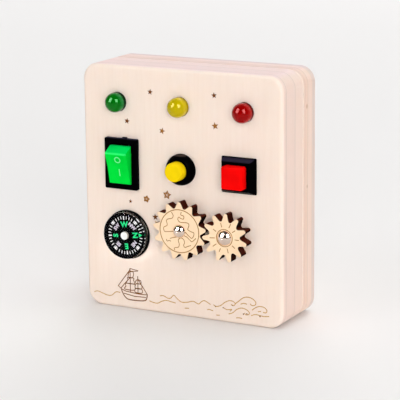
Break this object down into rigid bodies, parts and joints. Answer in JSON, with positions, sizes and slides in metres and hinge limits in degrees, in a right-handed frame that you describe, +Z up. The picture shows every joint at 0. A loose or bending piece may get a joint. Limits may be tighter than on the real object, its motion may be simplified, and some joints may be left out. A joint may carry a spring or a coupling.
{
  "type": "busy board",
  "caption": "Small free-standing wooden busy board with lights, a rocker switch, push buttons, a button compass and meshing wooden gears on its front.",
  "frame": {"origin": "centre of the wooden body's bottom face, where it stands", "axes": "+X to the right seen from the front, +Y from the front to the back, +Z up"},
  "size_m": [0.09, 0.0374, 0.1015],
  "materials": {
    "birch": "pale sanded basswood, satin",
    "black_plastic": "black moulded plastic, gloss",
    "rocker_green": "bright green moulded plastic, gloss",
    "cap_yellow": "bright yellow moulded plastic, satin",
    "cap_red": "bright red moulded plastic, satin",
    "lens_green": "clear tinted green epoxy, polished",
    "lens_yellow": "clear tinted yellow epoxy, polished",
    "lens_red": "clear tinted red epoxy, polished",
    "compass_black": "black plastic, gloss",
    "dial_black": "black card with white and green print",
    "white_plastic": "white plastic",
    "clear_window": "clear moulded window, polished",
    "magnet_grey": "dark ferrite magnet",
    "polished_steel": "bright nickel-plated steel",
    "plain_steel": "zinc-plated steel",
    "spring_steel": "spring wire",
    "brass": "bare brass",
    "tinned_wire": "tinned leads",
    "resistor_beige": "beige lacquer",
    "cell_wrap": "plain printed cell jacket",
    "tape_white": "white foam tape",
    "wire_red": "red PVC insulation",
    "wire_black": "black PVC insulation",
    "holder_black": "black moulded plastic, satin"
  },
  "bodies": {
    "board": {"front_panel": "birch", "front_frame": "birch", "middle_frame": "birch", "rear_frame": "birch", "back_panel": "birch", "cover_screws": "plain_steel", "gear_washers": "plain_steel", "gear_post_screws": "plain_steel", "battery_contacts": "plain_steel", "compass_pivot": "plain_steel", "gear_posts": "polished_steel", "green_led_lens": "lens_green", "green_led_leads": "tinned_wire", "green_resistor": "resistor_beige", "green_led_wire": "wire_red", "yellow_led_lens": "lens_yellow", "yellow_led_leads": "tinned_wire", "yellow_resistor": "resistor_beige", "yellow_led_wire": "wire_red", "red_led_lens": "lens_red", "red_led_leads": "tinned_wire", "red_resistor": "resistor_beige", "red_led_wire": "wire_red", "rocker_housing": "black_plastic", "round_button_housing": "black_plastic", "square_button_housing": "black_plastic", "round_button_nut": "black_plastic", "square_button_nut": "black_plastic", "round_button_base": "black_plastic", "square_button_base": "black_plastic", "round_button_spring": "spring_steel", "square_button_spring": "spring_steel", "battery_springs": "spring_steel", "rocker_terminals": "brass", "round_button_terminals": "brass", "square_button_terminals": "brass", "compass_case": "compass_black", "compass_window": "clear_window", "battery_holder": "holder_black", "holder_tape": "tape_white", "battery_cell_upper": "cell_wrap", "battery_cell_lower": "cell_wrap", "battery_wire_red": "wire_red", "supply_links": "wire_red", "battery_wire_black": "wire_black", "return_links": "wire_black"},
    "rocker": {"rocker": "rocker_green", "rocker_plunger": "black_plastic", "rocker_spring": "spring_steel"},
    "rocker_lever": {"rocker_contact_lever": "brass"},
    "round_button": {"round_button_cap": "cap_yellow", "round_button_contact": "brass"},
    "square_button": {"square_button_cap": "cap_red", "square_button_contact": "brass"},
    "large_gear": {"large_gear": "birch"},
    "small_gear": {"small_gear": "birch"},
    "compass_card": {"compass_dial": "dial_black", "compass_cap": "white_plastic", "compass_magnet": "magnet_grey"}
  },
  "joints": [
    {"name": "rocker_tilt", "type": "hinge", "parent": "board", "child": "rocker", "pos_m": [-0.0268, -0.01444, 0.0613], "axis": [1, 0, 0], "range_deg": [-30.8, 0]},
    {"name": "rocker_lever_tilt", "type": "hinge", "parent": "board", "child": "rocker_lever", "pos_m": [-0.0268, -0.00729, 0.0613], "axis": [1, 0, 0], "range_deg": [0, 16.1]},
    {"name": "round_button_press", "type": "slide", "parent": "board", "child": "round_button", "axis": [0, 1, 0], "range_m": [0, 0.0018], "stiffness_N_per_m": 250, "springref_m": -0.004, "deforming": ["round_button_spring"]},
    {"name": "square_button_press", "type": "slide", "parent": "board", "child": "square_button", "axis": [0, 1, 0], "range_m": [0, 0.0018], "stiffness_N_per_m": 250, "springref_m": -0.004, "deforming": ["square_button_spring"]},
    {"name": "large_gear_spin", "type": "hinge", "parent": "board", "child": "large_gear", "pos_m": [0.00164, -0.01785, 0.03704], "axis": [0, -1, 0], "continuous": true},
    {"name": "small_gear_spin", "type": "hinge", "parent": "board", "child": "small_gear", "pos_m": [0.02186, -0.01785, 0.03644], "axis": [0, -1, 0], "continuous": true},
    {"name": "compass_card_turn", "type": "hinge", "parent": "board", "child": "compass_card", "pos_m": [-0.025, -0.0162, 0.0318], "axis": [0, -1, 0], "continuous": true}
  ],
  "couplings": [
    {"joint": "small_gear_spin", "follows": "large_gear_spin", "ratio": -1.1818},
    {"joint": "rocker_lever_tilt", "follows": "rocker_tilt", "ratio": -0.51948}
  ]
}
